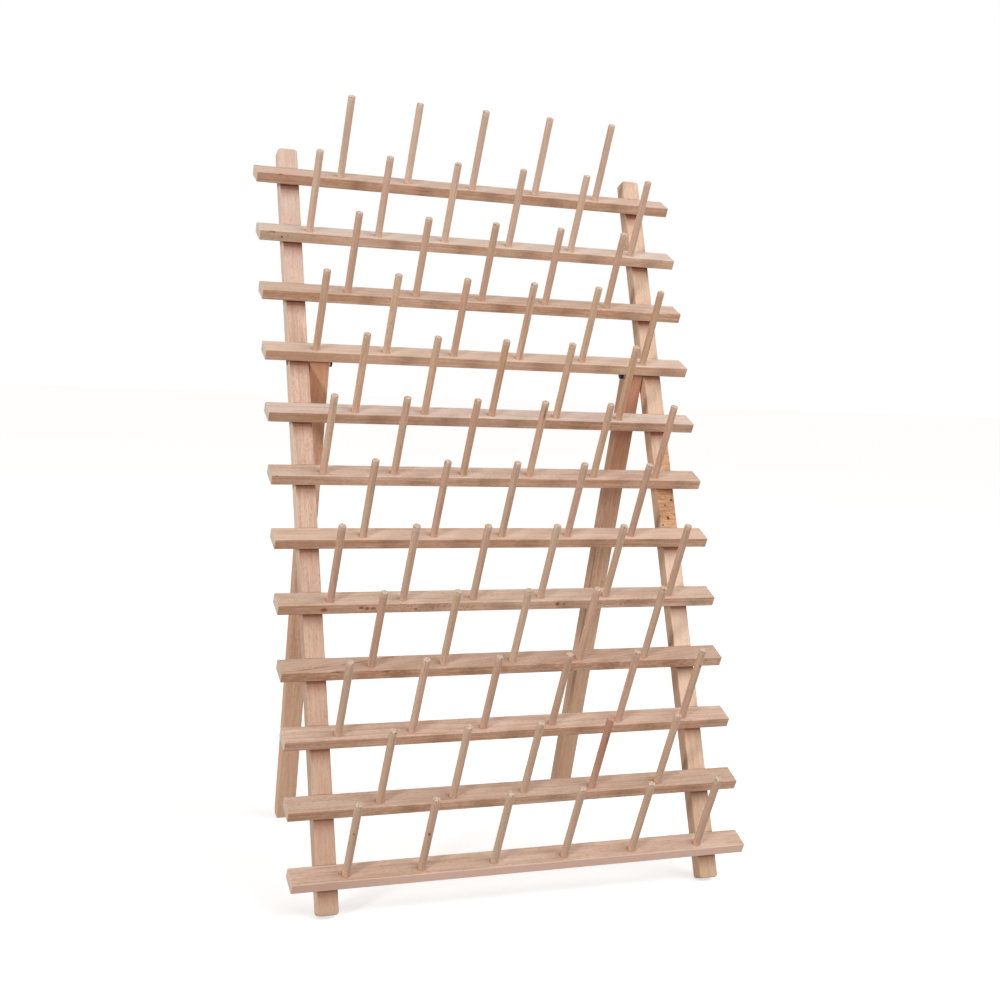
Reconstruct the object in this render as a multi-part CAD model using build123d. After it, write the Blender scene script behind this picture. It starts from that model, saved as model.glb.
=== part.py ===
from build123d import *
import os
from math import asin, atan2, cos, degrees, hypot, pi, radians, sin

# A folding thread rack: twelve pegged rails lie in sawn notches across two posts,
# and two back legs swing out on bolts to hold it up like an easel.
# Lengths are millimetres. X runs along the rails, Y goes to the back, Z is up.

# Rows
row_count = 12
row_pitch = 57.0
post_head = 30.0
post_foot = 30.0

# Rails
rail_length = 418.0
rail_width = 20.0
rail_thickness = 9.5
rail_tilt = 45.0
rail_round = 0.8

# Pegs
odd_row_pegs = 5
even_row_pegs = 6
peg_pitch = 65.0
peg_radius = 3.3
peg_reach = 76.0
peg_depth = 7.0
peg_offset = 3.0
peg_tip_round = 1.4
peg_root_taper = 0.3

# Posts
post_width = 18.0
post_depth = 13.0
post_inset = 23.5
post_corner = 3.0
edge_round = 1.2

# Back legs, hinged below this count of rails
pivot_rail_count = 4
pivot_drop = 5.5
leg_width = 18.0
leg_depth = 13.0
leg_reach = 468.0
leg_spread = 34.0
leg_toe_in = 0.9
leg_heel_round = 5.0
leg_head_round = 1.0

# Pivot bolts, washers and nuts
bolt_radius = 2.0
bolt_head_radius = 3.9
bolt_head_rim = 0.4
bolt_slot_width = 1.0
bolt_slot_depth = 0.9
bolt_tail = 0.4
washer_radius = 4.5
washer_thickness = 0.8
nut_across_flats = 7.0
nut_thickness = 2.2
nut_chamfer = 0.3

# Brads that pin the rails from behind
brad_radius = 0.7
brad_length = 17.0
brad_head_radius = 1.3
brad_head_thickness = 0.6
brad_sink = 0.3

# Clearances
joint_gap = 0.1
peg_fit = 0.05
brad_fit = 0.05
bolt_fit = 0.05
washer_bore_gap = 0.2
moving_gap = 0.3
overrun = 5.0

# Places worked out from the sizes above, in the rack's own upright frame:
# y is 0 on the posts' front faces and z is 0 at the posts' lower ends
tilt = radians(rail_tilt)
spread = radians(leg_spread)
toe_in = radians(leg_toe_in)
rail_y = sin(tilt) * rail_thickness / 2 - cos(tilt) * rail_width / 2
notch_y = rail_y + cos(tilt) * rail_width / 2 + sin(tilt) * rail_thickness / 2
notch_rise = sin(tilt) * rail_width / 2 - cos(tilt) * rail_thickness / 2
post_length = post_foot + (row_count - 1) * row_pitch + post_head
post_x = rail_length / 2 - post_inset - post_width / 2
washer_x = post_x - post_width / 2 - washer_thickness / 2
leg_gap = moving_gap + sin(toe_in) * washer_radius
leg_x = washer_x - washer_thickness / 2 - leg_gap - leg_width / 2
outer_washer_x = leg_x - leg_width / 2 - leg_gap - washer_thickness / 2
nut_x = outer_washer_x - washer_thickness / 2 - nut_thickness / 2
bolt_length = post_x + post_width / 2 - nut_x + nut_thickness / 2 + bolt_tail


def row_height(row):
    return post_foot + (row_count - row) * row_pitch


pivot_y = post_depth / 2
pivot_z = row_height(pivot_rail_count) - pivot_drop


def solve_fold_angle():
    """The leg's angle to the posts when its front face meets the next rail's back corner."""
    corner_y = notch_y - pivot_y
    corner_drop = row_pitch - pivot_drop - notch_rise
    reach = hypot(corner_y, corner_drop)
    return atan2(corner_y, corner_drop) + asin((leg_depth / 2 + moving_gap) / reach)


def solve_lean():
    """The posts' lean when their back edges and the legs' front edges share one floor."""
    along = cos(toe_in) * (leg_reach - edge_round) + sin(toe_in) * (leg_width - edge_round) / 2
    across = leg_depth / 2 - edge_round
    foot_y = pivot_y + sin(spread) * along - cos(spread) * across
    foot_z = pivot_z - cos(spread) * along - sin(spread) * across
    return atan2(foot_z - edge_round, foot_y - (post_depth - edge_round))


folded = solve_fold_angle()
fold_travel = leg_spread - degrees(folded)
lean = degrees(solve_lean())

# The leg's head ends this far from the bolt, just short of the rail's underside
underside = sin(tilt) * (pivot_y - rail_y) + cos(tilt) * pivot_drop - rail_thickness / 2
head_reach = underside - moving_gap - sin(toe_in) * leg_width / 2


def rail_place(row):
    return Pos(0, rail_y, row_height(row)) * Rot(rail_tilt, 0, 0)


def peg_places(row):
    count = odd_row_pegs if row % 2 else even_row_pegs
    start = -(count - 1) * peg_pitch / 2
    return [Pos(start + i * peg_pitch, -peg_offset, rail_thickness / 2) for i in range(count)]


def brad_place(side, row):
    return Pos(side * post_x, post_depth - brad_sink, row_height(row) + notch_rise) * Rot(-90, 0, 0)


def pivot_place(x):
    return Pos(x, pivot_y, pivot_z) * Rot(0, 90, 0)


def hang(radius, length):
    """A round bar that reaches down from z = 0."""
    return Pos(0, 0, -length / 2) * Cylinder(radius, length)


def make_peg():
    """A dowel that stands on z = 0 with a rounded tip, and its tapered root below."""
    dowel = Pos(0, 0, peg_reach) * hang(peg_radius, peg_reach)
    dowel = fillet(dowel.edges().sort_by(Axis.Z)[-1], peg_tip_round)
    root = Pos(0, 0, -peg_depth / 2) * Cone(peg_radius - peg_root_taper, peg_radius, peg_depth)
    return dowel + root


def make_brad():
    """A brad that points down, with its flat head's top at the origin."""
    return hang(brad_radius, brad_length) + hang(brad_head_radius, brad_head_thickness)


def make_brad_hole():
    """The hole for a brad, with the dimple over its set-in head."""
    dimple = hang(brad_head_radius + brad_fit, brad_head_thickness + brad_sink + overrun)
    shank = hang(brad_radius + brad_fit, brad_length + joint_gap)
    return shank + Pos(0, 0, brad_sink + overrun) * dimple


def make_rail(row):
    bar = fillet(Box(rail_length, rail_width, rail_thickness).edges(), rail_round)
    hole = Pos(0, 0, overrun) * hang(peg_radius + peg_fit, overrun + peg_depth + joint_gap)
    for place in peg_places(row):
        bar -= place * hole
    rail = rail_place(row) * bar
    for side in (-1, 1):
        rail -= brad_place(side, row) * make_brad_hole()
    return rail


def make_pegs(row):
    peg = make_peg()
    return [rail_place(row) * place * peg for place in peg_places(row)]


def make_notch():
    """The right-angled notch that takes a rail's lower back corner."""
    reach = rail_width + rail_thickness
    corner = Pos(0, rail_width / 2 + joint_gap, -rail_thickness / 2 - joint_gap)
    return corner * Box(post_width + overrun, reach, reach, align=(Align.CENTER, Align.MAX, Align.MIN))


def make_post(side):
    middle = Pos(0, post_depth / 2, post_length / 2)
    blank = fillet(Box(post_width, post_depth, post_length).edges().filter_by(Axis.Y), post_corner)
    rims = blank.faces().sort_by(Axis.Y)[0].edges() + blank.faces().sort_by(Axis.Y)[-1].edges()
    post = Pos(side * post_x, 0, 0) * middle * fillet(rims, edge_round)
    for row in range(1, row_count + 1):
        post -= Pos(side * post_x, 0, 0) * rail_place(row) * make_notch()
        post -= brad_place(side, row) * make_brad_hole()
    return post - pivot_place(0) * make_bolt_hole(side)


def make_bolt_hole(side):
    """The hole along X with its cone sunk into the post's outer face."""
    shank = Cylinder(bolt_radius + bolt_fit, rail_length)
    return shank + make_bolt_head(side, bolt_fit)


def make_bolt_head(side, gap=0):
    cone_height = bolt_head_radius - bolt_radius
    outer = post_x + post_width / 2
    cone = Cone(bolt_radius + gap, bolt_head_radius + gap, cone_height)
    rim = Cylinder(bolt_head_radius + gap, bolt_head_rim + gap)
    cone_middle = outer - bolt_head_rim - gap - cone_height / 2
    rim_middle = outer - (bolt_head_rim + gap) / 2
    turn = Rot(0, 0, 0) if side > 0 else Rot(180, 0, 0)
    return turn * (Pos(0, 0, cone_middle) * cone + Pos(0, 0, rim_middle) * rim)


def make_bolt(side):
    outer = post_x + post_width / 2
    shank = Cylinder(bolt_radius, bolt_length - bolt_head_rim)
    middle = side * (outer - bolt_head_rim - (bolt_length - bolt_head_rim) / 2)
    slot = Box(bolt_slot_width, 2 * bolt_head_radius + overrun, 2 * bolt_slot_depth)
    bolt = Pos(0, 0, middle) * shank + make_bolt_head(side)
    return pivot_place(0) * (bolt - Pos(0, 0, side * outer) * slot)


def make_washer(x):
    bore = Cylinder(bolt_radius + washer_bore_gap, washer_thickness)
    return pivot_place(x) * (Cylinder(washer_radius, washer_thickness) - bore)


def make_nut(x):
    flats = RegularPolygon(nut_across_flats / 2, 6, major_radius=False)
    blank = extrude(flats, nut_thickness / 2, both=True)
    corner_radius = nut_across_flats / 2 / cos(pi / 6)
    round_bar = Cylinder(corner_radius, nut_thickness)
    turned = chamfer(round_bar.edges().filter_by(GeomType.CIRCLE), nut_chamfer)
    return pivot_place(x) * ((blank & turned) - Cylinder(bolt_radius + bolt_fit, nut_thickness))


def make_leg(side):
    """A leg in its own frame, hanging down from the bolt, then toed in and swung out."""
    half = leg_depth / 2
    stop = tilt - spread
    relief = tilt - folded
    stop_touch = Vector(0, -head_reach * sin(stop), head_reach * cos(stop))
    relief_touch = Vector(0, -head_reach * sin(relief), head_reach * cos(relief))
    between = (stop + relief) / 2
    arc_middle = Vector(0, -head_reach * sin(between), head_reach * cos(between))
    back_top = Vector(0, half, (head_reach + half * sin(stop)) / cos(stop))
    front_top = Vector(0, -half, (head_reach - half * sin(relief)) / cos(relief))
    heel = Vector(0, half, -leg_reach)
    toe = Vector(0, -half, -leg_reach)
    outline = Curve() + [
        Line(heel, back_top),
        Line(back_top, stop_touch),
        ThreePointArc(stop_touch, arc_middle, relief_touch),
        Line(relief_touch, front_top),
        Line(front_top, toe),
        Line(toe, heel),
    ]
    leg = extrude(make_face(outline), leg_width / 2, both=True)
    low_edges = leg.edges().filter_by(Axis.X).sort_by(Axis.Z)[:2].sort_by(Axis.Y)
    leg = fillet(low_edges[0], edge_round)
    heel_edge = leg.edges().filter_by(Axis.X).sort_by(Axis.Z)[:3].sort_by(Axis.Y)[-1]
    leg = fillet(heel_edge, leg_heel_round)
    leg = fillet(leg.edges().filter_by(Axis.X).sort_by(Axis.Z)[-1], leg_head_round)
    rims = leg.faces().sort_by(Axis.X)[0].edges() + leg.faces().sort_by(Axis.X)[-1].edges()
    leg = fillet(rims, edge_round / 2)
    leg = Rot(0, side * leg_toe_in, 0) * leg
    leg -= Rot(0, 90, 0) * Cylinder(bolt_radius + bolt_fit, leg_width + overrun)
    return Pos(side * leg_x, pivot_y, pivot_z) * Rot(leg_spread, 0, 0) * leg


def make_nodes():
    nodes = {}
    for row in range(1, row_count + 1):
        nodes[f"rail_{row:02d}"] = [make_rail(row)]
        nodes[f"pegs_{row:02d}"] = make_pegs(row)
    for name, side in (("left", -1), ("right", 1)):
        rows = range(1, row_count + 1)
        nodes[f"{name}_post"] = [make_post(side)]
        nodes[f"{name}_back_leg"] = [make_leg(side)]
        nodes[f"{name}_pivot_bolt"] = [make_bolt(side)]
        nodes[f"{name}_spacer_washer"] = [make_washer(side * washer_x)]
        nodes[f"{name}_nut_washer"] = [make_washer(side * outer_washer_x)]
        nodes[f"{name}_pivot_nut"] = [make_nut(side * nut_x)]
        nodes[f"{name}_rail_brads"] = [brad_place(side, row) * make_brad() for row in rows]
    return nodes


def stand_up(nodes):
    """Lean the rack back on its legs and put the origin under its middle, on the floor."""
    leaned = {name: [Rot(-lean, 0, 0) * solid for solid in solids] for name, solids in nodes.items()}
    box = Compound([solid for solids in leaned.values() for solid in solids]).bounding_box()
    home = Pos(-(box.min.X + box.max.X) / 2, -(box.min.Y + box.max.Y) / 2, -box.min.Z)
    return home, {name: [home * solid for solid in solids] for name, solids in leaned.items()}


os.makedirs("parts", exist_ok=True)
home, standing = stand_up(make_nodes())
for name, solids in standing.items():
    export_step(solids[0] if len(solids) == 1 else Compound(solids), f"parts/{name}.step")
print(f"lean {lean:.2f} deg, fold travel {fold_travel:.2f} deg, nodes {len(standing)}")
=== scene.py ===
from math import cos, pi, radians, sin

import bpy
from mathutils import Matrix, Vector


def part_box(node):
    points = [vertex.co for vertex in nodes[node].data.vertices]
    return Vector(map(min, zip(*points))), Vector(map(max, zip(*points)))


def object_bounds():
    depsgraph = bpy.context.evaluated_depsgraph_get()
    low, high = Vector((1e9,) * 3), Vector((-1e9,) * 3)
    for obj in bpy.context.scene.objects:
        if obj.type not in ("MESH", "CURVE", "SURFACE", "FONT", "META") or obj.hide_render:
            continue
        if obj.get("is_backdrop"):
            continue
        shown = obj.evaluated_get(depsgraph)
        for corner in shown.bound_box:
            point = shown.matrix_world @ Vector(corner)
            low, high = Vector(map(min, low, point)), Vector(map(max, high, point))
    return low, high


bl_info = {
    "name": "Thread Rack Finish",
    "version": (1, 0, 0),
    "blender": (4, 5, 0),
    "location": "3D View > Sidebar > Thread Rack",
    "description": "Finishes a folding beech thread rack and sets it on a plain stage",
    "category": "Material",
}

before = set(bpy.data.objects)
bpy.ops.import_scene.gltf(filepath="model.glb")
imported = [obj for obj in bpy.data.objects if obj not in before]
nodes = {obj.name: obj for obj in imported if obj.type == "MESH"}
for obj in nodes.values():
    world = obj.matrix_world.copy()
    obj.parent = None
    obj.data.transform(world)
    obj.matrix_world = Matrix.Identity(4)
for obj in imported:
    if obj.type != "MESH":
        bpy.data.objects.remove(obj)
cad_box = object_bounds()

WHITE = (1.0, 1.0, 1.0)

# Angles about X, in degrees, that carry each kind of piece from upright to where it stands
LEAN = 19.553
POST_TURN = -LEAN
RAIL_TURN = 45.0 - LEAN
LEG_TURN = 34.0 - LEAN

# Sizes of the rack in millimetres, as in the part's source
ROWS = 12
PEG_STEP = 65.0
PEG_OFFSET = 3.0
PEG_REACH = 76.0
RAIL_WIDTH = 20.0
RAIL_THICKNESS = 9.5
POST_DEPTH = 13.0

# How far apart the pieces lie in the coordinates that carry their marks, so that a mark finds its own piece
PIECE_GAP = 1000.0

# How finely each part of beech's figure is drawn, per millimetre: across, through and along the grain
BOW_GRAIN = (0.02, 0.02, 0.006)
RING_GRAIN = (0.12, 0.12, 0.02)
FIBRE_GRAIN = (1.1, 1.1, 0.06)
STRAND_GRAIN = (0.45, 0.45, 0.014)
CLOUD_GRAIN = (0.06, 0.06, 0.018)
SAW_GRAIN = (0.30, 0.30, 0.14)
VEIN_GRAIN = (0.42, 0.42, 0.007)
RAY_GRAIN = (1.25, 1.25, 0.20)
RAY_PATCH_GRAIN = (0.3, 0.3, 0.05)
PORE_GRAIN = (3.2, 3.2, 0.2)
STAIN_GRAIN = (0.5, 0.5, 0.2)

# The same for the blush, along the grain alone: its width is a value of each wood
BLUSH_ALONG = 0.012


def from_screen(red, green, blue):
    """Linear light for a colour that is given as 0 to 255 on a screen."""
    shares = (red / 255, green / 255, blue / 255)
    return tuple(s / 12.92 if s <= 0.04045 else ((s + 0.055) / 1.055) ** 2.4 for s in shares)


def centre(node):
    """The middle of a node's box in millimetres."""
    low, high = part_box(node)
    return (low + high) * 500


def unturned(point, turn):
    """A point in the frame of pieces that stand turned about X by so many degrees."""
    c, s = cos(radians(turn)), sin(radians(turn))
    return Vector((point.x, c * point.y + s * point.z, -s * point.y + c * point.z))


class Shade:
    """A shader socket that takes part in sums. Each sum adds the Math node that it needs."""

    def __init__(self, finish, node, output):
        self.finish = finish
        self.node = node
        self.socket = node.outputs[output] if node.outputs else None

    def out(self, output):
        """Another output of the same node."""
        return Shade(self.finish, self.node, output)

    def math(self, operation, *terms):
        """A Math node with this value first."""
        sockets = dict(enumerate((self,) + terms))
        return self.finish.node("ShaderNodeMath", {"operation": operation}, sockets)

    def back(self, operation, other):
        """A Math node with this value last, as in 1 - mask."""
        return self.finish.node("ShaderNodeMath", {"operation": operation}, {0: other, 1: self})

    def __add__(self, other):
        return self.math("ADD", other)

    def __radd__(self, other):
        return self.back("ADD", other)

    def __sub__(self, other):
        return self.math("SUBTRACT", other)

    def __rsub__(self, other):
        return self.back("SUBTRACT", other)

    def __mul__(self, other):
        return self.math("MULTIPLY", other)

    def __rmul__(self, other):
        return self.back("MULTIPLY", other)

    def __truediv__(self, other):
        return self.math("DIVIDE", other)

    def __pow__(self, other):
        return self.math("POWER", other)

    def __lt__(self, other):
        return self.math("LESS_THAN", other)

    def __abs__(self):
        return self.math("ABSOLUTE")

    def __round__(self):
        return self.math("ROUND")


class Finish:
    """A material, or the world's, and the one way in which its nodes are added."""

    def __init__(self, owner):
        owner.use_nodes = True
        self.owner = owner
        self.tree = owner.node_tree
        self.tree.nodes.clear()

    def node(self, kind, settings=None, sockets=None, output=0):
        """Adds a node: its settings first, then the values or links of its sockets."""
        made = self.tree.nodes.new(kind)
        for name, value in (settings or {}).items():
            setattr(made, name, value)
        for key, value in (sockets or {}).items():
            socket = made.inputs[key]
            if isinstance(value, Shade):
                self.tree.links.new(value.socket, socket)
            else:
                socket.default_value = (*value, 1.0) if socket.type == "RGBA" else value
        return Shade(self, made, output)

    def mix(self, factor, first, second):
        """A colour between two others, from the colour sockets of a Mix node."""
        settings = {"data_type": "RGBA", "clamp_factor": True}
        return self.node("ShaderNodeMix", settings, {0: factor, 6: first, 7: second}, 2)

    def tinted(self, colour, *tints):
        """The colour after each tint, given as its share and its colour, is mixed in."""
        for share, tint in tints:
            colour = self.mix(share, colour, tint)
        return colour

    def ease(self, value, start, end, low=0.0, high=1.0):
        """A value that goes smoothly from low to high as the other goes from start to end."""
        sockets = {"Value": value, "From Min": start, "From Max": end, "To Min": low, "To Max": high}
        return self.node("ShaderNodeMapRange", {"interpolation_type": "SMOOTHSTEP"}, sockets)

    def vector(self, x, y, z):
        """Three values as one vector."""
        return self.node("ShaderNodeCombineXYZ", {}, {0: x, 1: y, 2: z})

    def scaled(self, vector, factors):
        """A vector whose parts are multiplied by the factors."""
        return self.node("ShaderNodeVectorMath", {"operation": "MULTIPLY"}, {0: vector, 1: factors})

    def moved(self, vector, shift):
        """A vector with another one added."""
        return self.node("ShaderNodeVectorMath", {"operation": "ADD"}, {0: vector, 1: shift})

    def noise(self, vector, factors, detail, roughness=0.5, distortion=0.0):
        """Cloudy noise around a half, whose grain is stretched by the factors."""
        sockets = {
            "Vector": self.scaled(vector, factors),
            "Scale": 1.0,
            "Detail": detail,
            "Roughness": roughness,
            "Distortion": distortion,
        }
        return self.node("ShaderNodeTexNoise", {}, sockets)

    def lots(self, key):
        """Three chance numbers from 0 to 1 that belong to one piece, known by its key."""
        sockets = {"Vector": self.vector(*key)}
        return self.node("ShaderNodeTexWhiteNoise", {"noise_dimensions": "3D"}, sockets, "Color")

    def split(self, vector):
        """The three parts of a vector."""
        made = self.node("ShaderNodeSeparateXYZ", {}, {0: vector})
        return made, made.out(1), made.out(2)

    def turned_place(self, turn):
        """Object coordinates in millimetres, in the frame of pieces turned about X."""
        object_place = self.node("ShaderNodeTexCoord", {}, {}, "Object")
        settings = {"vector_type": "POINT"}
        sockets = {"Vector": object_place, "Rotation": (radians(-turn), 0.0, 0.0), "Scale": (1000.0,) * 3}
        return self.split(self.node("ShaderNodeMapping", settings, sockets))

    def turned_normal(self, turn):
        """The surface's direction in the same frame."""
        object_normal = self.node("ShaderNodeTexCoord", {}, {}, "Normal")
        sockets = {"Vector": object_normal, "Rotation": (radians(-turn), 0.0, 0.0)}
        return self.split(self.node("ShaderNodeMapping", {"vector_type": "VECTOR"}, sockets))

    def mark(self, place, point, radius, stretch):
        """A soft mark about a point, stretched along the grain."""
        flat = (1.0, 1.0, 1.0 / stretch)
        point = tuple(p * f for p, f in zip(point, flat))
        sockets = {0: self.scaled(place, flat), 1: point}
        away = self.node("ShaderNodeVectorMath", {"operation": "DISTANCE"}, sockets, "Value")
        return self.ease(away, radius * 1.35, radius * 0.55)

    def marks(self, place, points):
        """The darkest of several marks, each a point with its radius, stretch and strength."""
        total = None
        for point, radius, stretch, strength in points:
            one = self.mark(place, point, radius, stretch) * strength
            total = one if total is None else total.math("MAXIMUM", one)
        return total

    def relief(self, height, strength, distance):
        """The surface's direction where fine relief, in so many metres, is laid on it."""
        sockets = {"Strength": strength, "Distance": distance, "Height": height}
        return self.node("ShaderNodeBump", {}, sockets)

    def surface(self, sockets):
        """The finished material, from the sockets of its Principled shader."""
        return self.close(self.node("ShaderNodeBsdfPrincipled", {}, sockets))

    def close(self, shader):
        """Links the finished shader to the output, and gives the material or the world back."""
        kind = "World" if isinstance(self.owner, bpy.types.World) else "Material"
        self.node(f"ShaderNodeOutput{kind}", {}, {"Surface": shader})
        return self.owner


def set_wood(finish, space, look, piece_marks, holes=(), stains=()):
    """Beech: growth rings, long fibres, short dark rays and porous end grain.

    space holds the place across, through and along the grain in millimetres from the
    piece's middle, the masks of its end grain and of its sawn edges, and its key, three
    numbers of which the first is the piece's own. piece_marks adds to the colour what
    one kind of piece alone has.
    """
    across, through, along, end_grain, edge, key = space
    chance = finish.lots(key)
    chance_a, chance_b, chance_c = finish.split(chance)
    own = finish.vector(across, through, along + key[0] * PIECE_GAP)
    place = finish.vector(across, through, along)
    place = finish.moved(place, finish.scaled(chance, (60.0, 60.0, 900.0)))

    # Rings about a heart that lies off the piece, bent a little along its length
    bow = (finish.noise(place, BOW_GRAIN, 2.0) - 0.5) * 26.0
    heart_a = across + (chance_a - 0.5) * 46.0 + bow
    heart_b = through + 16.0 + chance_b * 34.0
    radius = (heart_a * heart_a + heart_b * heart_b) ** 0.5
    ring_width = 1.7 + chance_c * 1.3
    ring = radius / ring_width + finish.noise(place, RING_GRAIN, 3.0) * 1.1
    turn = ring.math("FRACT")
    late = finish.ease(turn, 0.35, 0.92) * finish.ease(turn, 1.0, 0.93)

    # The tone goes from early to late wood, with fibres, strands and slow clouds
    fibre = finish.noise(place, FIBRE_GRAIN, 3.0, 0.65) - 0.5
    strand = finish.noise(place, STRAND_GRAIN, 4.0, 0.6, 0.4) - 0.5
    cloud = finish.noise(place, CLOUD_GRAIN, 3.0, 0.6) - 0.5
    saw = finish.noise(place, SAW_GRAIN, 4.0, 0.65) - 0.5
    rings = (late - 0.35) * look.ring_contrast * (chance_c * 1.4 + 0.3)
    tone = 0.5 + rings + fibre * look.fibre_contrast
    tone = tone + strand * look.strand_contrast
    tone = tone + cloud * look.cloud_contrast + (chance_b - 0.5) * look.piece_contrast
    # The sawn edges are darker, with saw marks of their own; the darkening is partly painted shade
    tone = tone + edge * (look.edge_shade + saw * look.edge_contrast + strand * 2.0 + cloud * 0.9)
    colour = finish.mix(tone, look.pale[:], look.deep[:])

    # Redder and greener streaks, and the tint of the sawn edges, which is partly painted shade: the warm,
    # darker colour of faces turned from the light
    blush = finish.noise(place, (look.blush_grain, look.blush_grain, BLUSH_ALONG), 5.0, 0.75)
    rosy = finish.ease(blush, 0.46, 0.62) * 0.6 + chance_c * 0.4
    olive = finish.ease(blush, 0.52, 0.36) * 0.6 + finish.ease(saw, -0.02, 0.2) * 0.4
    colour = finish.tinted(
        colour,
        (rosy * look.rosy_share, look.rosy[:]),
        (olive * look.olive_share, look.olive[:]),
        (edge * 0.35, look.edge[:]),
    )

    # Veins: a few long dark lines
    vein = finish.noise(place, VEIN_GRAIN, 3.0, 0.6, 0.3)
    veins = finish.ease(vein, 0.555, 0.60) * finish.ease(vein, 0.67, 0.61) * (0.35 + chance_a)
    colour = finish.mix(veins * look.vein_contrast, colour, look.vein[:])

    # Rays: short dark dashes along the grain
    ray_place = finish.scaled(finish.moved(place, finish.scaled(chance, (7.0, 5.0, 3.0))), RAY_GRAIN)
    ray = finish.node("ShaderNodeTexVoronoi", {"feature": "F1"}, {"Vector": ray_place, "Scale": 1.0})
    ray_patch = finish.noise(place, RAY_PATCH_GRAIN, 1.0)
    rays = finish.ease(ray, 0.42, 0.18) * finish.ease(ray_patch, 0.3, 0.55)
    colour = finish.mix(rays * look.ray_contrast, colour, look.ray[:])

    # End grain: sawn across, with pores
    pore_place = finish.scaled(place, PORE_GRAIN)
    pore = finish.node("ShaderNodeTexVoronoi", {"feature": "F1"}, {"Vector": pore_place, "Scale": 1.0})
    pores = finish.ease(pore, 0.34, 0.16)
    end_colour = finish.mix(pores * 0.25 + late * 0.1, look.end[:], look.ray[:])
    colour = finish.mix(end_grain * 0.85, colour, end_colour)

    colour = piece_marks(own, colour)
    relief = fibre * 0.8 + strand * 0.5 - rays * 0.35 - late * 0.15 - pores * end_grain * 0.8
    relief = relief + edge * saw * 0.8
    if stains:
        blot = finish.marks(own, stains) * finish.ease(finish.noise(place, STAIN_GRAIN, 3.0), 0.25, 0.6)
        colour = finish.mix(blot, colour, look.ray[:])
    if holes:
        hole = finish.marks(own, holes)
        colour = finish.mix(hole * 0.9, colour, from_screen(62, 38, 26))
        relief = relief - hole * 3.0
    sockets = {
        "Base Color": colour,
        "Roughness": 0.58 + fibre * 0.2 + rays * 0.08 + end_grain * 0.12,
        "Normal": finish.relief(relief, 0.4, 0.0002),
        "Specular IOR Level": 0.3,
        "Sheen Weight": look.sheen,
        "Sheen Roughness": 0.4,
    }
    return finish.surface(sockets)


def new_finish(name):
    return Finish(bpy.data.materials.new(name))


def coat(names, material):
    """Gives the material to each named node, in place of what it came with."""
    for name in names:
        node = nodes[name]
        node.data.materials.clear()
        node.data.materials.append(material)


def row_frame(a, n):
    """The row of a rail or peg, 1 at the top, and its place across and through that row's rail."""
    top = unturned(centre("rail_01"), RAIL_TURN)
    bottom = unturned(centre("rail_12"), RAIL_TURN)
    step = (top - bottom) / (ROWS - 1)
    row = round((top.y - a) / step.y + 1.0)
    return row, a - top.y + (row - 1.0) * step.y, n - top.z + (row - 1.0) * step.z


def prefer(look, **values):
    """Gives a look the values of one kind of piece, where the user hasn't set others."""
    for name, value in values.items():
        if not look.is_property_set(name):
            setattr(look, name, value)


def numbered(count, number):
    """1 where a count, such as the row, is this whole number, and 0 elsewhere."""
    return abs(count - number) < 0.5


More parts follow.
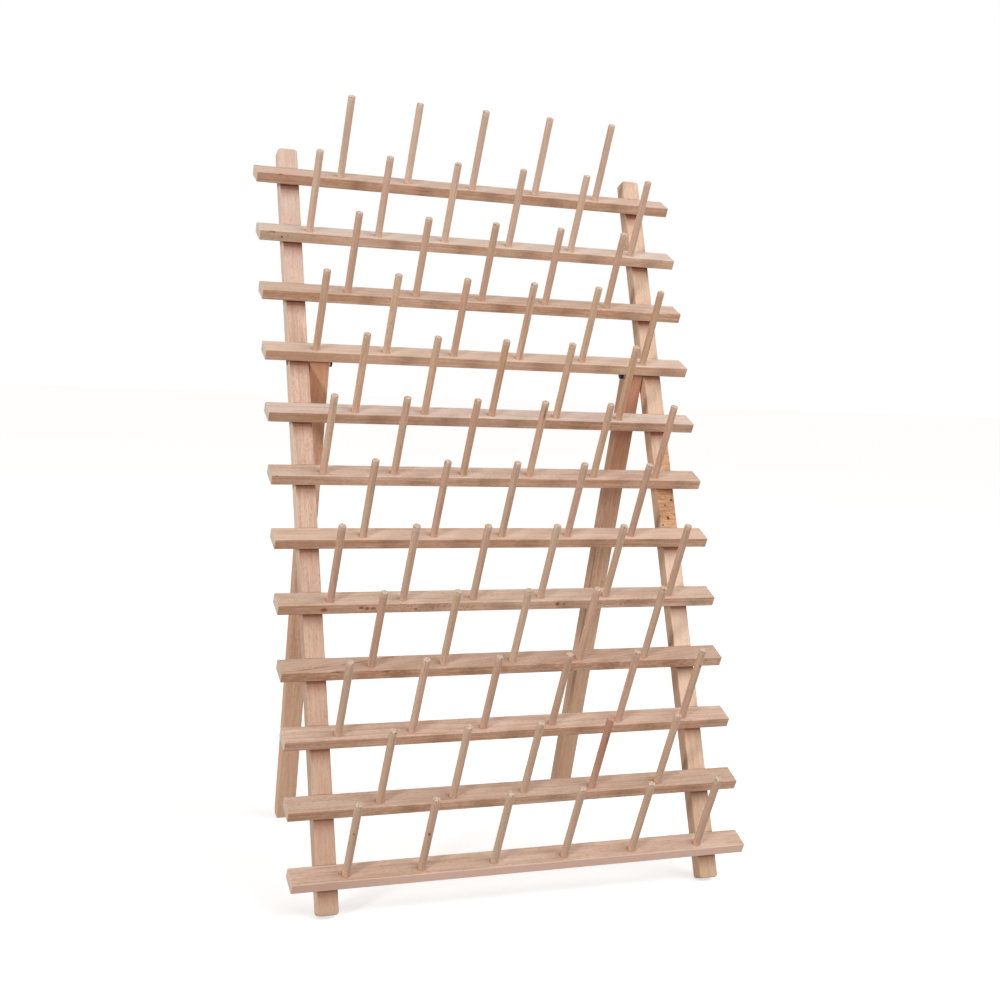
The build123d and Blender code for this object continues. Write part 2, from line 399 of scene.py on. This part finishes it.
class RackWood(bpy.types.PropertyGroup):
    """One beech: its colours in linear light, and how strongly each part of its figure shows."""

    pale: bpy.props.FloatVectorProperty(
        name="Pale", description="Colour of the early wood",
        subtype="COLOR", size=3, min=0, max=1, default=from_screen(234, 217, 202),
    )
    deep: bpy.props.FloatVectorProperty(
        name="Deep", description="Colour of the late wood and dark strands",
        subtype="COLOR", size=3, min=0, max=1, default=from_screen(180, 142, 115),
    )
    rosy: bpy.props.FloatVectorProperty(
        name="Rosy", description="Tint of the redder pieces",
        subtype="COLOR", size=3, min=0, max=1, default=from_screen(214, 160, 138),
    )
    olive: bpy.props.FloatVectorProperty(
        name="Olive", description="Tint of the greener patches",
        subtype="COLOR", size=3, min=0, max=1, default=from_screen(190, 160, 126),
    )
    edge: bpy.props.FloatVectorProperty(
        name="Edge", description="Tint of the sawn edges",
        subtype="COLOR", size=3, min=0, max=1, default=from_screen(214, 160, 122),
    )
    vein: bpy.props.FloatVectorProperty(
        name="Vein", description="Colour of the long dark lines",
        subtype="COLOR", size=3, min=0, max=1, default=from_screen(158, 110, 76),
    )
    ray: bpy.props.FloatVectorProperty(
        name="Ray", description="Colour of the short dark rays and pores",
        subtype="COLOR", size=3, min=0, max=1, default=from_screen(132, 88, 60),
    )
    end: bpy.props.FloatVectorProperty(
        name="End grain", description="Colour of the sawn ends",
        subtype="COLOR", size=3, min=0, max=1, default=from_screen(240, 222, 204),
    )
    ring_contrast: bpy.props.FloatProperty(
        name="Rings", description="How strongly the growth rings show",
        subtype="FACTOR", min=0, max=2, default=0.22,
    )
    fibre_contrast: bpy.props.FloatProperty(
        name="Fibres", description="How strongly the fine fibres show",
        subtype="FACTOR", min=0, max=2, default=0.7,
    )
    strand_contrast: bpy.props.FloatProperty(
        name="Strands", description="How strongly the long streaks show",
        subtype="FACTOR", min=0, max=2, default=0.8,
    )
    cloud_contrast: bpy.props.FloatProperty(
        name="Clouds", description="How much the tone drifts along a piece",
        subtype="FACTOR", min=0, max=2, default=0.6,
    )
    piece_contrast: bpy.props.FloatProperty(
        name="Pieces", description="How much one piece differs from the next",
        subtype="FACTOR", min=0, max=2, default=0.25,
    )
    edge_shade: bpy.props.FloatProperty(
        name="Edge shade", description="How much darker the sawn edges are",
        subtype="FACTOR", min=-1, max=1, default=0.12,
    )
    edge_contrast: bpy.props.FloatProperty(
        name="Edge marks", description="How strongly the sawn edges are marked",
        subtype="FACTOR", min=0, max=3, default=1.4,
    )
    vein_contrast: bpy.props.FloatProperty(
        name="Veins", description="How dark the long lines are",
        subtype="FACTOR", min=0, max=1, default=0.38,
    )
    ray_contrast: bpy.props.FloatProperty(
        name="Rays", description="How dark the rays are",
        subtype="FACTOR", min=0, max=1, default=0.35,
    )
    blush_grain: bpy.props.FloatProperty(
        name="Blush grain", description="How narrow the red and green streaks are, per millimetre",
        min=0, default=0.35,
    )
    sheen: bpy.props.FloatProperty(
        name="Sheen", description="How much the raised fibres catch the light",
        subtype="FACTOR", min=0, max=1, default=0.15,
    )
    rosy_share: bpy.props.FloatProperty(
        name="Rosy share", description="How red the reddest piece is",
        subtype="FACTOR", min=0, max=1, default=0.5,
    )
    olive_share: bpy.props.FloatProperty(
        name="Olive share", description="How green the greenest patches are",
        subtype="FACTOR", min=0, max=1, default=0.4,
    )


class RackMetal(bpy.types.PropertyGroup):
    """The fasteners' two finishes."""

    black: bpy.props.FloatVectorProperty(
        name="Black", description="Colour of the blackened bolts and nuts",
        subtype="COLOR", size=3, min=0, max=1, default=from_screen(42, 38, 36),
    )
    zinc: bpy.props.FloatVectorProperty(
        name="Zinc", description="Colour of the washers and brads",
        subtype="COLOR", size=3, min=0, max=1, default=from_screen(178, 178, 176),
    )
    tarnish: bpy.props.FloatVectorProperty(
        name="Tarnish", description="Colour of the dull patches",
        subtype="COLOR", size=3, min=0, max=1, default=from_screen(110, 98, 86),
    )


class RackStage(bpy.types.PropertyGroup):
    """The floor and the light from all round."""

    floor: bpy.props.FloatVectorProperty(
        name="Floor", description="Colour of the floor",
        subtype="COLOR", size=3, min=0, max=1, default=(0.8, 0.8, 0.8),
    )
    floor_glow: bpy.props.FloatVectorProperty(
        name="Floor glow",
        description="White that the camera sees added to the floor near the rack and far off",
        size=2, min=0, max=1, default=(0.54, 0.67),
    )
    floor_bounce: bpy.props.FloatVectorProperty(
        name="Bounce", description="Colour that the floor has for the light it throws back",
        subtype="COLOR", size=3, min=0, max=1, default=(0.27, 0.24, 0.21),
    )
    floor_size: bpy.props.FloatProperty(
        name="Floor size", description="Length of the floor's side",
        unit="LENGTH", min=1, default=60.0,
    )
    sky: bpy.props.FloatVectorProperty(
        name="Sky", description="Colour of the light from all round",
        subtype="COLOR", size=3, min=0, max=1, default=(1.0, 0.96, 0.92),
    )
    sky_strength: bpy.props.FloatProperty(
        name="Sky strength", description="Strength of the light from all round",
        min=0, default=0.41,
    )


class RackLamp(bpy.types.PropertyGroup):
    """One round lamp that faces the middle of the rack."""

    power: bpy.props.FloatProperty(name="Power", description="Power of the lamp", unit="POWER", min=0)
    size: bpy.props.FloatProperty(
        name="Size", description="Diameter, which softens the shadows",
        unit="LENGTH", min=0,
    )
    reach: bpy.props.FloatProperty(
        name="Reach", description="Distance from the rack's middle",
        unit="LENGTH", min=0,
    )
    height: bpy.props.FloatProperty(
        name="Height", description="How high the lamp stands",
        subtype="ANGLE",
    )
    side: bpy.props.FloatProperty(
        name="Side", description="How far it stands to the left",
        subtype="ANGLE",
    )


class RackCamera(bpy.types.PropertyGroup):
    """The camera, where the photograph was taken."""

    lens: bpy.props.FloatProperty(
        name="Lens", description="Focal length on a sensor 36 mm wide",
        subtype="DISTANCE_CAMERA", min=1, default=51.6676,
    )
    place: bpy.props.FloatVectorProperty(
        name="Place", description="Where the camera stands",
        subtype="XYZ_LENGTH", size=3, unit="LENGTH", default=(-0.471873, -1.235223, 0.443809),
    )
    turn: bpy.props.FloatVectorProperty(
        name="Turn", description="How the camera is turned",
        subtype="EULER", size=3, default=(1.4883562, -0.0392117, -0.3679007),
    )


class THREADRACK_OT_finish_rails(bpy.types.Operator):
    """Give the twelve rails their beech, with the grain along them"""

    bl_idname = "thread_rack.finish_rails"
    bl_label = "Finish the rails"

    # The wide face looks up, and the narrow one looks down and to the front
    wide = RAIL_THICKNESS / 2
    narrow = -RAIL_WIDTH / 2

    # Row, place across, through and along the rail, then radius, stretch and strength
    holes = (
        (2, (narrow, 3.7, -196.4), 0.8, 1.0, 1.0),
        (2, (narrow, -0.5, -188.7), 0.9, 1.1, 1.0),
        (2, (narrow, 2.4, -201.6), 0.5, 1.3, 0.5),
        (6, (narrow, 4.2, -204.6), 0.6, 1.3, 0.6),
    )
    reds = (
        (8, (narrow, -0.2, -169.1), 2.0, 1.5, 1.0),
        (8, (narrow, 1.1, -136.2), 1.5, 1.6, 1.0),
        (8, (narrow, 0.4, -131.0), 1.6, 1.3, 1.0),
        (8, (narrow, 0.3, -125.5), 1.5, 1.6, 0.9),
        (8, (narrow, -1.2, -86.9), 1.1, 1.8, 0.8),
        (8, (narrow, 1.0, 47.5), 2.0, 1.0, 1.0),
        (8, (narrow, 0.6, 54.0), 1.2, 1.2, 0.8),
    )
    stains = (
        (1, (narrow, 4.6, -187.9), 0.9, 1.6, 0.8),
        (2, (narrow, 3.9, -199.5), 1.0, 2.6, 0.55),
        (2, (narrow, -2.6, -197.0), 0.7, 2.2, 0.4),
        (2, (narrow, 1.2, -183.0), 0.6, 2.2, 0.4),
        (2, (-4.0, wide, 55.0), 1.0, 3.0, 0.8),
        (9, (narrow, 4.3, -162.0), 1.0, 12.0, 1.0),
        (9, (narrow, 3.2, -118.0), 0.8, 16.0, 0.8),
        (9, (-4.0, wide, -178.0), 0.8, 22.0, 0.7),
        (9, (2.0, wide, -140.0), 0.7, 26.0, 0.7),
        (9, (6.0, wide, -120.0), 0.8, 24.0, 0.7),
    )

    # Row, how much of a tint its wide face and its narrow face take, and the tint
    tan, cream, ash = (140, 96, 70), (238, 220, 200), (232, 224, 222)
    tints = (
        (1, 0.0, 0.22, tan),
        (2, 0.35, 0.14, cream),
        (2, 0.2, 0.0, ash),
        (4, 0.35, 0.14, cream),
        (5, 0.2, 0.0, ash),
        (5, 0.0, 0.25, tan),
        (7, 0.2, 0.0, (240, 215, 190)),
        (7, 0.0, 0.12, tan),
        (8, 0.0, 0.07, (250, 226, 206)),
        (9, 0.2, 0.05, tan),
        (11, 0.17, 0.0, tan),
        # The bottom rail's narrow face, which looks down at the floor, is made much paler
        (12, 0.0, 0.8, (252, 216, 200)),
    )

    # One rail has an aged end, one is speckled, and one was sawn at a slant, so its grain drifts across it
    aged_row = 2
    speckled_row = 8
    slanted_row = 9
    slant = 0.16

    # The glue about a peg's foot fades between these distances from the peg's middle
    glue_full, glue_none = 3.8, 5.0

    # No peg stands further out than this
    last_peg = 172.0

    def execute(self, context):
        finish = new_finish("beech rails")
        x, a, n = finish.turned_place(RAIL_TURN)
        row, across, through = row_frame(a, n)
        face_x, face_a, face_n = finish.turned_normal(RAIL_TURN)
        end_grain = finish.ease(abs(face_x), 0.6, 0.9)
        edge = finish.ease(abs(face_a), 0.5, 0.85)
        drift = numbered(row, self.slanted_row) * self.slant
        space = (across - drift * x, through, x, end_grain, edge, (row, 3.0, 1.0))

        def rail_marks(own, colour):
            """A tint for each row's faces, painted shade on the narrow faces towards the left ends, aged
            and red-specked edges, and glue about each peg's foot.
            """
            for number, on_wide, on_narrow, tint in self.tints:
                share = on_wide + edge * (on_narrow - on_wide)
                colour = finish.mix(numbered(row, number) * share, colour, from_screen(*tint))
            # Painted shade: the narrow faces darken towards the rails' left ends
            left_end_shade = edge * finish.ease(x, -120.0, -180.0)
            aged = numbered(row, self.aged_row) * finish.ease(x, -163.0, -178.0) * edge
            speck = finish.noise(own, (0.9, 0.9, 0.7), 4.0, 0.8)

            # The speckles lie in two stretches, one towards each end
            from_stretch = abs(abs(x - 15.0) - 95.0)
            speckled = numbered(row, self.speckled_row) * edge * finish.ease(from_stretch, 60.0, 30.0)
            dash = finish.noise(own, (0.8, 0.8, 0.4), 3.0, 0.7)
            return finish.tinted(
                colour,
                (left_end_shade * 0.2, from_screen(*self.tan)),
                (aged * 0.3, from_screen(206, 190, 160)),
                (aged * finish.ease(speck, 0.53, 0.66) * 0.6, from_screen(96, 82, 58)),
                (finish.marks(own, self.placed(self.reds)) * 0.85, from_screen(150, 66, 46)),
                (speckled * finish.ease(dash, 0.52, 0.62) * 0.5, from_screen(132, 84, 58)),
                (self.glue(finish, own, x, across, row, face_n) * 0.45, from_screen(184, 122, 98)),
            )

        look = context.scene.rack_rail_wood
        holes, stains = self.placed(self.holes), self.placed(self.stains)
        material = set_wood(finish, space, look, rail_marks, holes, stains)
        coat([f"rail_{number:02d}" for number in range(1, ROWS + 1)], material)
        return {"FINISHED"}

    def placed(self, marks):
        """The same marks, each at its own rail's place."""
        found = []
        for row, (across, through, along), *rest in marks:
            drift = self.slant * along * (row == self.slanted_row)
            found.append(((across - drift, through, along + PIECE_GAP * row), *rest))
        return found

    def glue(self, finish, own, x, across, row, face_n):
        """A ring of glue about each peg's foot, on the wide face alone."""
        shift = (1.0 - row.math("MODULO", 2.0)) * (PEG_STEP / 2)
        peg_x = x - shift - round((x - shift) / PEG_STEP) * PEG_STEP
        peg_a = across + PEG_OFFSET
        ragged = (finish.noise(own, (0.5, 0.5, 0.5), 2.0) - 0.5) * 2.0
        away = (peg_x * peg_x + peg_a * peg_a) ** 0.5 + ragged
        ring = finish.ease(away, self.glue_none, self.glue_full)
        ring = ring * finish.ease(abs(x), self.last_peg + 4.0, self.last_peg)
        return ring * finish.ease(face_n, 0.5, 0.8)


class THREADRACK_OT_finish_pegs(bpy.types.Operator):
    """Give the pegs their dowel wood, each with its own tone"""

    bl_idname = "thread_rack.finish_pegs"
    bl_label = "Finish the pegs"

    # Row, half steps from the middle, place on the peg, then radius, stretch and strength
    holes = (
        (4, -5, (1.4, -1.6, 78.6), 1.3, 1.0, 0.8),
        (12, 5, (0.4, -1.6, 78.8), 1.5, 1.0, 1.0),
        (12, -5, (-0.6, -1.8, 78.6), 0.9, 1.2, 0.8),
    )
    stains = (
        (6, 1, (0.0, -3.2, 70.0), 0.9, 7.0, 0.9),
        (11, 2, (0.6, -3.2, 60.0), 1.2, 9.0, 0.7),
        (12, -3, (-1.0, -3.2, 45.0), 1.3, 1.3, 1.0),
        (12, -5, (-1.0, -3.2, 52.0), 0.9, 1.6, 0.9),
        (10, 5, (0.2, -3.3, 64.0), 1.0, 1.4, 1.0),
    )

    def execute(self, context):
        look = context.scene.rack_peg_wood
        prefer(
            look,
            pale=from_screen(234, 206, 176),
            deep=from_screen(178, 139, 105),
            end=from_screen(214, 184, 156),
            sheen=0.3,
            vein_contrast=0.35,
            piece_contrast=0.5,
            rosy_share=0.8,
            olive_share=0.6,
        )
        finish = new_finish("beech pegs")
        x, a, n = finish.turned_place(RAIL_TURN)
        row, across, through = row_frame(a, n)
        cell = round(x / (PEG_STEP / 2))
        peg_x = x - cell * (PEG_STEP / 2)
        peg_a = across + PEG_OFFSET
        _, _, face_n = finish.turned_normal(RAIL_TURN)
        end_grain = finish.ease(abs(face_n), 0.5, 0.95)
        key = self.key(row, cell)
        space = (peg_x, peg_a, through, end_grain, 0.0, (key, row, 2.0))

        def foot_and_tip(own, colour):
            """Glue at the foot, a painted highlight just under the tip, some dark tips, the rows' tones
            with painted light on the upper rows, and one red peg.
            """
            height = through - RAIL_THICKNESS / 2
            foot = finish.ease(height, 5.0, 1.5)
            # Painted highlight: a pale band just under each peg's tip
            tip_highlight = finish.ease(height, PEG_REACH - 5.25, PEG_REACH - 2.25)
            tip = finish.ease(height, PEG_REACH - 2.15, PEG_REACH - 1.55)
            flat = finish.vector(peg_x, peg_a, key)
            spot = finish.ease(finish.noise(flat, (0.6, 0.6, 3.0), 3.0, 0.7), 0.48, 0.62)
            # Painted light: the pegs of the upper rows are paler
            lit_upper_rows = finish.ease(row, 5.0, 1.0)
            lower_rows = finish.ease(row, 5.0, 7.0)
            last_rows = finish.ease(row, 10.0, 11.0)
            red_peg = numbered(row, 11) * numbered(cell, 2) * finish.ease(height, 5.25, 45.25, 0.35, 1.0)
            return finish.tinted(
                colour,
                (foot * 0.2, from_screen(222, 184, 150)),
                (tip_highlight * 0.35, from_screen(232, 212, 192)),
                (lit_upper_rows * 0.3, from_screen(232, 214, 202)),
                (lower_rows * 0.12, from_screen(186, 178, 184)),
                (last_rows * 0.15, from_screen(232, 206, 176)),
                (spot * tip * 0.8, from_screen(142, 106, 80)),
                (red_peg * 0.6, from_screen(178, 112, 88)),
            )

        holes, stains = self.placed(self.holes), self.placed(self.stains)
        material = set_wood(finish, space, look, foot_and_tip, holes, stains)
        coat([f"pegs_{number:02d}" for number in range(1, ROWS + 1)], material)
        return {"FINISHED"}

    def key(self, row, cell):
        """A number of its own for each peg, from its row and the half steps from the middle."""
        return row + cell * 20.0

    def placed(self, marks):
        """The same marks, each at its own peg's place."""
        return [
            ((x, y, height + PIECE_GAP * self.key(row, cell)), *rest)
            for row, cell, (x, y, height), *rest in marks
        ]


class THREADRACK_OT_finish_posts(bpy.types.Operator):
    """Give the two posts their beech, with the grain upright"""

    bl_idname = "thread_rack.finish_posts"
    bl_label = "Finish the posts"

    # The right post's marks: place across, through and along the post, then radius, stretch and strength
    face = -POST_DEPTH / 2
    holes = (
        ((5.4, face, PIECE_GAP + 9.2), 1.6, 0.8, 1.0),
        ((-0.1, face, PIECE_GAP - 8.7), 1.6, 1.2, 1.0),
        ((-1.9, face, PIECE_GAP + 3.7), 1.1, 0.8, 0.9),
        ((6.7, face, PIECE_GAP - 5.6), 0.9, 1.0, 0.8),
        ((-6.4, face, PIECE_GAP - 15.5), 1.2, 1.0, 0.9),
    )
    stains = (((-5.5, face, PIECE_GAP + 157.0), 1.6, 1.2, 0.8),)
    rough_areas = (
        ((0.0, face, PIECE_GAP + 3.0), 13.0, 2.2, 1.0),
        ((6.0, face, PIECE_GAP + 42.0), 7.0, 3.0, 1.0),
    )

    def execute(self, context):
        look = context.scene.rack_post_wood
        prefer(
            look,
            pale=from_screen(234, 213, 196),
            deep=from_screen(187, 150, 123),
            rosy=from_screen(224, 162, 142),
            fibre_contrast=1.5,
            strand_contrast=0.5,
            vein_contrast=0.2,
            ray_contrast=0.4,
            blush_grain=1.2,
            rosy_share=0.55,
            olive_share=0.45,
        )
        finish = new_finish("beech posts")
        x, y, z = finish.turned_place(POST_TURN)
        middle = unturned(centre("right_post"), POST_TURN)
        side = x.math("SIGN")
        face_x, face_y, face_z = finish.turned_normal(POST_TURN)
        end_grain = finish.ease(abs(face_z), 0.75, 0.95)
        edge = finish.ease(abs(face_x), 0.5, 0.85)
        across, through, along = x - side * middle.x, y - middle.y, z - middle.z
        space = (across, through, along, end_grain, edge, (side, 5.0, 3.0))

        rails = [unturned(centre(name), POST_TURN).z for name in ("rail_01", "rail_12")]
        step = (rails[0] - rails[1]) / (ROWS - 1)

        def post_marks(own, colour):
            """The right post's paler tone, painted light and shade by stretches of both posts, a red
            painted shade just under each rail, and the right post's rough, orange part.
            """
            left = finish.ease(side, 0.5, -0.5)
            right = 1.0 - left
            facing = 1.0 - edge
            left_face, left_side = left * facing, left * edge
            right_face, right_side = right * facing, right * edge

            # Stretches of the posts, in millimetres above their middle. The tints over them are painted
            # light and shade: the left post's outer side is lighter above and darker below, its front paler
            # at the head and darker lower down, and the right post's sides are darker below and lighter at
            # the top, its front lighter in the middle and darker towards the foot.
            lit_upper_side = finish.ease(along, -80.0, -10.0, 0.25, 0.62)
            shaded_lower_side = finish.ease(along, -10.0, -90.0) * finish.ease(along, -330.0, -295.0)
            lit_head = finish.ease(along, 100.0, 330.0)
            shaded_shin = finish.ease(along, 10.0, -50.0) * 0.28 + finish.ease(along, -130.0, -240.0) * 0.26
            lit_middle = finish.ease(along, 0.0, -60.0) * finish.ease(along, -220.0, -150.0)
            foot = finish.ease(along, -230.0, -290.0)
            colour = finish.tinted(
                colour,
                (left_side * lit_upper_side, from_screen(255, 232, 212)),
                (left_side * shaded_lower_side * 0.34, from_screen(150, 112, 86)),
                (left_face * lit_head * 0.4, from_screen(222, 200, 190)),
                (left_face * shaded_shin, look.deep[:]),
                (right * 0.3, from_screen(234, 206, 174)),
                (right_side * finish.ease(along, 0.0, -200.0) * 0.45, from_screen(162, 126, 100)),
                (right_side * finish.ease(along, 240.0, 310.0) * 0.6, from_screen(240, 206, 182)),
                (right_face * lit_middle * 0.25, from_screen(255, 232, 210)),
                (right_face * foot * 0.25, from_screen(166, 128, 92)),
            )

            # Painted shade: a red line just under each rail, darkest in the notch below the rail's edge
            front = finish.ease(face_y, -0.4, -0.8)
            drop = (rails[1] - z).math("FLOORED_MODULO", step)
            notch_shade = finish.ease(drop, 25.0, 11.0) * 0.35 + finish.ease(drop, 12.2, 11.0) * 0.3

            # The rough part is scored across by the saw
            line = finish.noise(own, (0.05, 0.3, 0.85), 3.0, 0.6)
            mesh = finish.noise(own, (0.6, 0.3, 0.35), 3.0, 0.6)
            grain = finish.ease(line, 0.35, 0.65) * 0.6 + finish.ease(mesh, 0.3, 0.7) * 0.4
            rough = finish.mix(grain, from_screen(226, 178, 128), from_screen(156, 92, 50))
            area = finish.marks(own, self.rough_areas)
            return finish.tinted(
                colour,
                (notch_shade * front, from_screen(146, 76, 42)),
                (area * front * 0.85, rough),
            )

        material = set_wood(finish, space, look, post_marks, self.holes, self.stains)
        coat(["left_post", "right_post"], material)
        return {"FINISHED"}


class THREADRACK_OT_finish_legs(bpy.types.Operator):
    """Give the two back legs their beech, with the grain along them"""

    bl_idname = "thread_rack.finish_legs"
    bl_label = "Finish the back legs"

    def execute(self, context):
        look = context.scene.rack_leg_wood
        prefer(
            look,
            pale=from_screen(244, 217, 190),
            deep=from_screen(200, 152, 114),
            fibre_contrast=1.2,
            vein_contrast=0.2,
            rosy_share=0.75,
            olive_share=0.2,
        )
        finish = new_finish("beech legs")
        x, y, z = finish.turned_place(LEG_TURN)
        middle = unturned(centre("right_back_leg"), LEG_TURN)
        side = x.math("SIGN")
        face_x, _, face_z = finish.turned_normal(LEG_TURN)
        end_grain = finish.ease(abs(face_z), 0.6, 0.9)
        edge = finish.ease(abs(face_x), 0.5, 0.85)
        across, through, along = x - side * middle.x, y - middle.y, z - middle.z
        space = (across, through, along, end_grain, edge, (side, 7.0, 4.0))

        def leg_marks(own, colour):
            """Painted shade reddens the legs towards their heads, painted light pales them lower down, and
            the right one's inner arris is dark.
            """
            right = finish.ease(side, -0.5, 0.5)

            # Painted light: the legs pale lower down, the right one from higher up than the left one
            low = finish.ease(along - side * 55.0, 0.0, -100.0)
            # Painted shade: the legs redden and darken towards their heads, where the posts and rails shade
            # them
            left_head_shade = (1.0 - right) * finish.ease(along, 110.0, 225.0)
            right_head_shade = right * (1.0 - edge * 0.6) * finish.ease(along, 20.0, 210.0, 0.1, 0.55)
            arris = finish.ease(across, -7.2, -8.0) * finish.ease(through, -4.6, -5.6)
            arris = right * arris * finish.ease(along, -170.0, -90.0)
            return finish.tinted(
                colour,
                (low * 0.33, from_screen(255, 216, 182)),
                (left_head_shade * 0.4, from_screen(214, 142, 98)),
                (right_head_shade, from_screen(186, 112, 76)),
                (arris * 0.45, from_screen(104, 70, 50)),
            )

        coat(["left_back_leg", "right_back_leg"], set_wood(finish, space, look, leg_marks))
        return {"FINISHED"}


class THREADRACK_OT_finish_fasteners(bpy.types.Operator):
    """Blacken the bolts and nuts, and zinc the washers and brads"""

    bl_idname = "thread_rack.finish_fasteners"
    bl_label = "Finish the fasteners"

    def execute(self, context):
        look = context.scene.rack_metal
        for name, colour, dullness, parts in (
            ("blackened steel", look.black, 0.42, ("pivot_bolt", "pivot_nut")),
            ("bright zinc", look.zinc, 0.33, ("spacer_washer", "nut_washer", "rail_brads")),
        ):
            finish = new_finish(name)
            place = finish.vector(*finish.turned_place(POST_TURN))
            patch = finish.ease(finish.noise(place, (0.9, 0.9, 0.9), 3.0), 0.45, 0.75)
            fine = finish.noise(place, (7.0, 7.0, 7.0), 2.0)
            sockets = {
                "Base Color": finish.mix(patch * 0.5, colour[:], look.tarnish[:]),
                "Metallic": 1.0 - patch * 0.3,
                "Roughness": dullness + patch * 0.2 + (fine - 0.5) * 0.15,
                "Normal": finish.relief(fine, 0.25, 0.00005),
            }
            names = [f"{side}_{part}" for side in ("left", "right") for part in parts]
            coat(names, finish.surface(sockets))
        return {"FINISHED"}


class THREADRACK_OT_set_stage(bpy.types.Operator):
    """Lay the floor and set up the light and the camera"""

    bl_idname = "thread_rack.set_stage"
    bl_label = "Set the stage"

    # Name, power, size, reach, height and side of a low key lamp and of a wide, higher window
    lamps = (
        ("key lamp", 76.0, 0.68, 4.0, radians(8), radians(53)),
        ("window", 41.0, 2.4, 2.4, radians(42), radians(-42)),
    )

    # Where the floor's glow begins to grow, and where it is full, in millimetres
    glow_start = 500.0
    glow_end = 2500.0

    def execute(self, context):
        stage = context.scene.rack_stage
        context.scene.view_settings.view_transform = "Standard"

        bpy.ops.object.select_all(action="DESELECT")
        bpy.ops.mesh.primitive_plane_add(size=stage.floor_size, location=(0, 0, 0))
        floor = context.object
        floor.name = "floor"
        floor.data.materials.append(self.floor_finish(stage))
        floor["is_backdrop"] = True

        world = bpy.data.worlds.new("studio")
        context.scene.world = world
        finish = Finish(world)
        sky_light = {"Color": stage.sky[:], "Strength": stage.sky_strength}
        sky = finish.node("ShaderNodeBackground", {}, sky_light)
        white = finish.node("ShaderNodeBackground", {}, {"Color": WHITE, "Strength": 1.0})
        finish.close(self.seen_or_thrown(finish, white, sky))

        looks = context.scene.rack_lamps
        if not looks:
            for name, *values in self.lamps:
                look = looks.add()
                look.name = name
                look.power, look.size, look.reach, look.height, look.side = values
        for look in looks:
            context.collection.objects.link(self.hung_lamp(look))

        view = context.scene.rack_camera
        lens = bpy.data.cameras.new("camera")
        lens.sensor_width = 36
        lens.lens = view.lens
        camera = bpy.data.objects.new("camera", lens)
        camera.location = view.place
        camera.rotation_euler = view.turn
        context.collection.objects.link(camera)
        context.scene.camera = camera
        return {"FINISHED"}

    def floor_finish(self, stage):
        """A pale floor that takes the rack's shadow and glows towards white, more so far from the rack."""
        finish = new_finish("pale floor")
        near, far = (
            finish.node("ShaderNodeEmission", {}, {"Color": WHITE, "Strength": strength})
            for strength in stage.floor_glow
        )
        x, y, _ = finish.turned_place(0.0)
        away = finish.ease((x * x + y * y) ** 0.5, self.glow_start, self.glow_end)
        glow = finish.node("ShaderNodeMixShader", {}, {0: away, 1: near, 2: far})
        pale = finish.node("ShaderNodeBsdfDiffuse", {}, {"Color": stage.floor[:]})
        shown = finish.node("ShaderNodeAddShader", {}, {0: pale, 1: glow})
        bounce = finish.node("ShaderNodeBsdfDiffuse", {}, {"Color": stage.floor_bounce[:]})
        return finish.close(self.seen_or_thrown(finish, shown, bounce))

    def seen_or_thrown(self, finish, seen, thrown):
        """One shader for the camera, reflections and clear material, and another for thrown light."""
        path = finish.node("ShaderNodeLightPath")
        looks = path.out("Is Camera Ray") + path.out("Is Glossy Ray") + path.out("Is Transmission Ray")
        sockets = {0: looks.math("MINIMUM", 1.0), 1: thrown, 2: seen}
        return finish.node("ShaderNodeMixShader", {}, sockets)

    def hung_lamp(self, look):
        """A round lamp, turned to the middle of the rack."""
        lamp = bpy.data.lights.new(look.name, "AREA")
        lamp.energy = look.power
        lamp.shape = "DISK"
        lamp.size = look.size
        hung = bpy.data.objects.new(look.name, lamp)
        hung.rotation_euler = (pi / 2 - look.height, 0, -look.side)
        away = hung.rotation_euler.to_matrix() @ Vector((0, 0, look.reach))
        hung.location = (cad_box[0] + cad_box[1]) / 2 + away
        return hung


class THREADRACK_PT_panel(bpy.types.Panel):
    """The steps of the finish, in order"""

    bl_idname = "THREADRACK_PT_panel"
    bl_label = "Thread Rack"
    bl_space_type = "VIEW_3D"
    bl_region_type = "UI"
    bl_category = "Thread Rack"

    def draw(self, context):
        for step in STEPS:
            self.layout.operator(step.bl_idname)


STEPS = (
    THREADRACK_OT_finish_rails,
    THREADRACK_OT_finish_pegs,
    THREADRACK_OT_finish_posts,
    THREADRACK_OT_finish_legs,
    THREADRACK_OT_finish_fasteners,
    THREADRACK_OT_set_stage,
)
CLASSES = (RackWood, RackMetal, RackStage, RackLamp, RackCamera) + STEPS + (THREADRACK_PT_panel,)


def register():
    for kind in CLASSES:
        bpy.utils.register_class(kind)
    for piece in ("rail", "peg", "post", "leg"):
        setattr(bpy.types.Scene, f"rack_{piece}_wood", bpy.props.PointerProperty(type=RackWood))
    bpy.types.Scene.rack_metal = bpy.props.PointerProperty(type=RackMetal)
    bpy.types.Scene.rack_stage = bpy.props.PointerProperty(type=RackStage)
    bpy.types.Scene.rack_camera = bpy.props.PointerProperty(type=RackCamera)
    bpy.types.Scene.rack_lamps = bpy.props.CollectionProperty(type=RackLamp)


def unregister():
    for piece in ("rail", "peg", "post", "leg"):
        delattr(bpy.types.Scene, f"rack_{piece}_wood")
    del bpy.types.Scene.rack_metal
    del bpy.types.Scene.rack_stage
    del bpy.types.Scene.rack_camera
    del bpy.types.Scene.rack_lamps
    for kind in reversed(CLASSES):
        bpy.utils.unregister_class(kind)


def main():
    register()
    for step in STEPS:
        area, name = step.bl_idname.split(".")
        getattr(getattr(bpy.ops, area), name)()
    [[list(corner) for corner in box] for box in (cad_box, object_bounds())]


if __name__ == "__main__":
    main()
